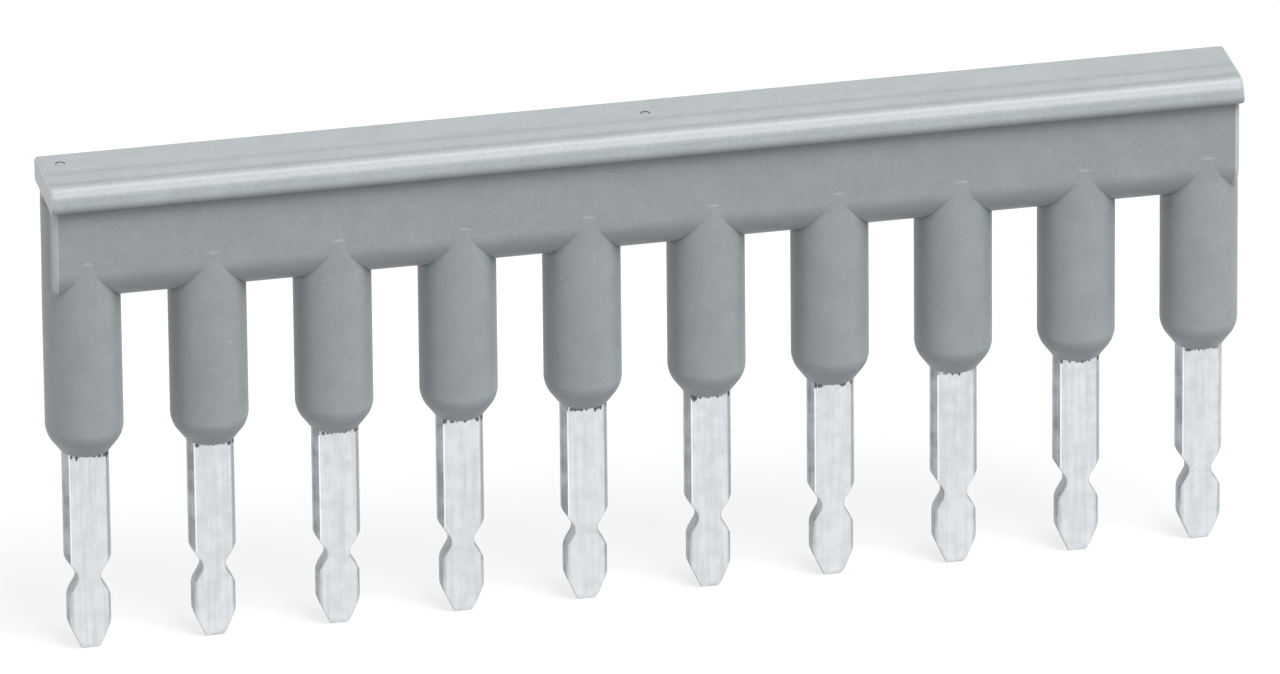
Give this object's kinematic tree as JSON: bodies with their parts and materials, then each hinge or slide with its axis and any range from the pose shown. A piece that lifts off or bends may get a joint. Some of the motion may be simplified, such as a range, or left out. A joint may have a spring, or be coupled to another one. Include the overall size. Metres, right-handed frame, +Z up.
{
  "type": "terminal block jumper bar",
  "caption": "Push-in jumper bar for rail-mounted terminal blocks: a grey moulded rail with round sleeve posts, each with a flat plug-in blade of one stamped contact comb.",
  "frame": {"origin": "in the plane of the blade tips, under the middle of the row and the middle of the plate's thickness", "axes": "+X along the row of blades, +Z up from the blade tips to the finger rail, +Y towards the back, so the rail's round nose faces -Y"},
  "size_m": [0.048, 0.0038, 0.0204],
  "materials": {
    "grey_polyamide": "fine matt moulded grey polyamide",
    "tinned_copper": "bright tin plate on stamped copper, lightly streaked lengthwise"
  },
  "bodies": {
    "root": {"insulating_housing": "grey_polyamide", "contact_comb": "tinned_copper"}
  },
  "joints": []
}
